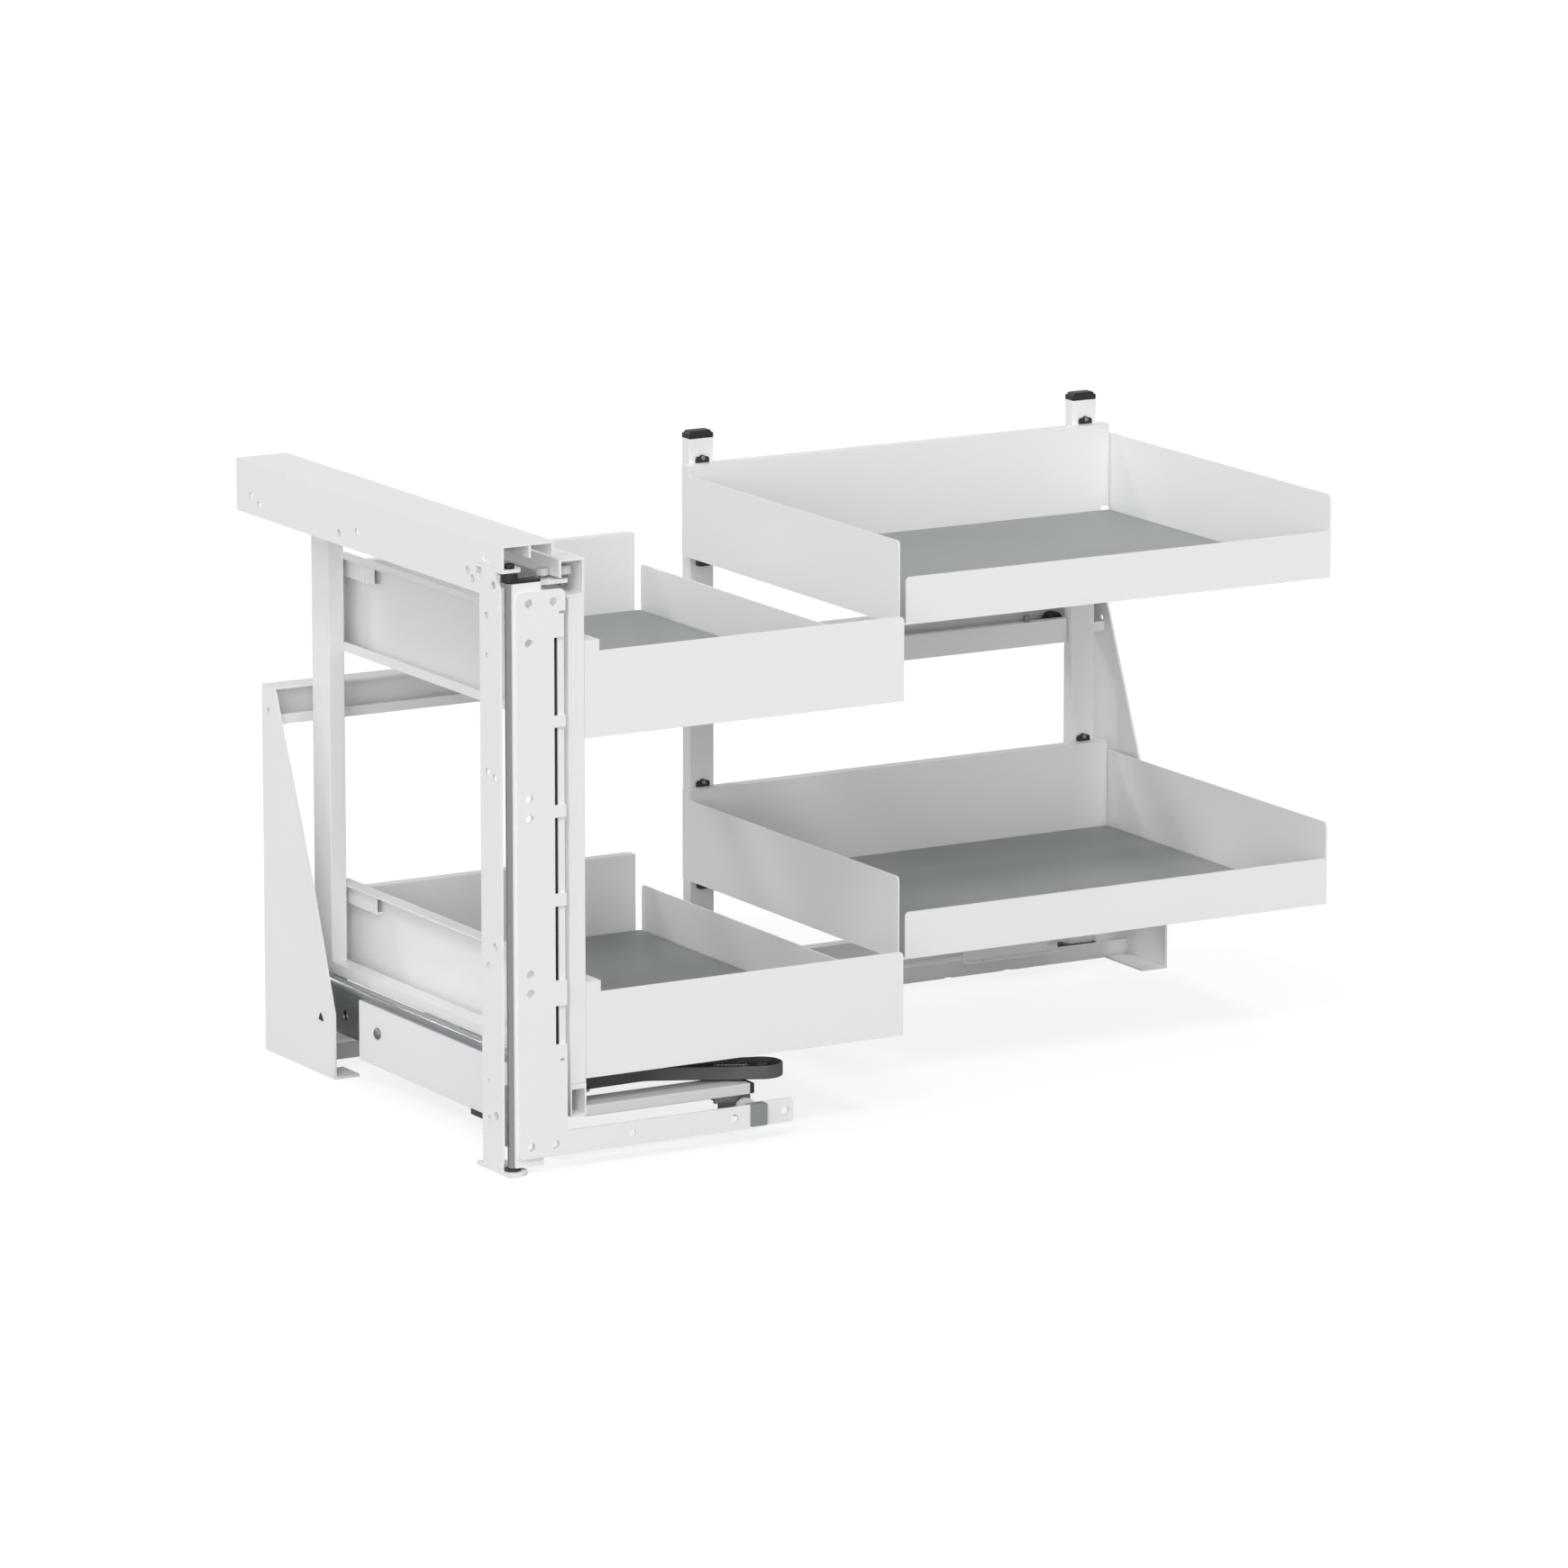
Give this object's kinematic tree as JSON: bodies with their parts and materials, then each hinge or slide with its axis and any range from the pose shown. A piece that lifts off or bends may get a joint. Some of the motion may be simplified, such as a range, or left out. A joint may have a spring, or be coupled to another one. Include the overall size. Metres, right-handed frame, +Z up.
{
  "type": "blind corner pull-out",
  "caption": "Corner cabinet fitting: a door carrier on a pivot post draws out a front frame of trays on a runner, while a second carriage of trays slides along a rear rail.",
  "frame": {"origin": "the door's pivot axis where it meets the cabinet floor, on the underside of the pivot post's foot", "axes": "+X along the cabinet's width towards the blind side, +Y into the cabinet, +Z up"},
  "size_m": [0.864, 0.497, 0.52],
  "materials": {
    "white_coat": "satin powder coat",
    "bright_steel": "bright drawn",
    "runner_steel": "zinc-plated, semi-bright",
    "zinc_steel": "dull zinc",
    "black_steel": "black oxide",
    "black_plastic": "matt, fine-grained",
    "white_plastic": "smooth",
    "arm_plastic": "matt, glass-filled",
    "grey_plastic": "matt",
    "rubber_pad": "matt",
    "grey_mat": "matt anti-slip film"
  },
  "bodies": {
    "cabinet_frame": {"side_beam": "white_coat", "pivot_post": "white_coat", "pivot_bolt": "black_steel", "pivot_pin": "bright_steel", "pivot_bushes": "black_plastic", "guide_arm": "white_coat", "guide_arm_bolts": "zinc_steel", "side_plate": "white_coat", "side_plate_rivet": "zinc_steel", "bumper_pad": "rubber_pad", "runner_outer": "runner_steel", "rear_bracket_left": "white_coat", "rear_bracket_right": "white_coat", "rear_top_rail": "white_coat", "rear_bottom_rail": "white_coat", "bracket_plug": "black_plastic"},
    "guide_wheel_outer": {"guide_roller_outer": "white_plastic"},
    "guide_wheel_inner": {"guide_roller_inner": "white_plastic"},
    "door_carrier": {"pivot_tube": "bright_steel", "door_extrusion": "white_coat", "extrusion_cap": "black_plastic", "door_plate": "white_coat", "door_strip": "white_coat", "catch_block": "grey_plastic"},
    "front_frame": {"top_channel": "white_coat", "frame_posts": "white_coat", "frame_bottom_rail": "white_coat", "bottom_tube": "white_coat", "runner_inner": "runner_steel", "side_bar": "white_coat", "bar_end_cap": "black_plastic", "wheel_bracket": "zinc_steel", "wheel_axle": "bright_steel", "roller_bracket": "zinc_steel", "tray_hangers": "white_coat", "arm_pivot_pin": "zinc_steel", "front_tray_upper": "white_coat", "front_tray_lower": "white_coat", "front_mat_upper": "grey_mat", "front_mat_lower": "grey_mat"},
    "runner_slide": {"runner_middle": "runner_steel"},
    "door_wheel": {"catch_wheel": "white_plastic"},
    "beam_wheel": {"beam_roller": "white_plastic"},
    "arm": {"link_arm": "arm_plastic", "arm_spring": "bright_steel"},
    "rear_carriage": {"carriage_posts": "white_coat", "post_caps": "black_plastic", "carriage_rails": "white_coat", "carriage_axles": "zinc_steel", "catch_tab": "white_coat", "carriage_shoes": "black_plastic", "rear_tray_upper": "white_coat", "rear_tray_lower": "white_coat", "rear_mat_upper": "grey_mat", "rear_mat_lower": "grey_mat", "tray_clips": "black_plastic", "clip_screws": "zinc_steel"},
    "rear_wheel_left": {"carriage_roller_left": "black_plastic"},
    "rear_wheel_right": {"carriage_roller_right": "black_plastic"}
  },
  "joints": [
    {"name": "door_swing", "type": "hinge", "parent": "cabinet_frame", "child": "door_carrier", "pos_m": [0, 0, 0.25], "axis": [0, 0, -1], "range_deg": [0, 95]},
    {"name": "front_slide", "type": "slide", "parent": "cabinet_frame", "child": "front_frame", "axis": [0, -1, 0], "range_m": [0, 0.355]},
    {"name": "runner_middle_slide", "type": "slide", "parent": "cabinet_frame", "child": "runner_slide", "axis": [0, -1, 0], "range_m": [0, 0.178]},
    {"name": "rear_slide", "type": "slide", "parent": "cabinet_frame", "child": "rear_carriage", "axis": [-1, 0, 0], "range_m": [0, 0.04]},
    {"name": "link_arm_swing", "type": "hinge", "parent": "front_frame", "child": "arm", "pos_m": [0.0885, 0.055, 0.056], "axis": [0, 0, 1], "range_deg": [0, 70]},
    {"name": "catch_wheel_spin", "type": "hinge", "parent": "front_frame", "child": "door_wheel", "pos_m": [0.2195, 0.00295, 0.0277], "axis": [0, 1, 0], "continuous": true},
    {"name": "beam_roller_spin", "type": "hinge", "parent": "front_frame", "child": "beam_wheel", "pos_m": [0.0268, 0.437, 0.5125], "axis": [0, 0, 1], "continuous": true},
    {"name": "guide_roller_outer_spin", "type": "hinge", "parent": "cabinet_frame", "child": "guide_wheel_outer", "pos_m": [0.0402, 0.0185, 0.491], "axis": [0, 0, 1], "continuous": true},
    {"name": "guide_roller_inner_spin", "type": "hinge", "parent": "cabinet_frame", "child": "guide_wheel_inner", "pos_m": [0.0553, 0.0117, 0.4925], "axis": [0, 0, 1], "continuous": true},
    {"name": "rear_roller_left_spin", "type": "hinge", "parent": "rear_carriage", "child": "rear_wheel_left", "pos_m": [0.4565, 0.47, 0.2988], "axis": [0, 1, 0], "continuous": true},
    {"name": "rear_roller_right_spin", "type": "hinge", "parent": "rear_carriage", "child": "rear_wheel_right", "pos_m": [0.8019, 0.47, 0.2988], "axis": [0, 1, 0], "continuous": true}
  ],
  "couplings": [
    {"joint": "front_slide", "follows": "door_swing", "m_per_rad": 0.214},
    {"joint": "runner_middle_slide", "follows": "door_swing", "m_per_rad": 0.107},
    {"joint": "rear_slide", "follows": "door_swing", "m_per_rad": 0.0241},
    {"joint": "link_arm_swing", "follows": "door_swing", "ratio": 0.7}
  ]
}
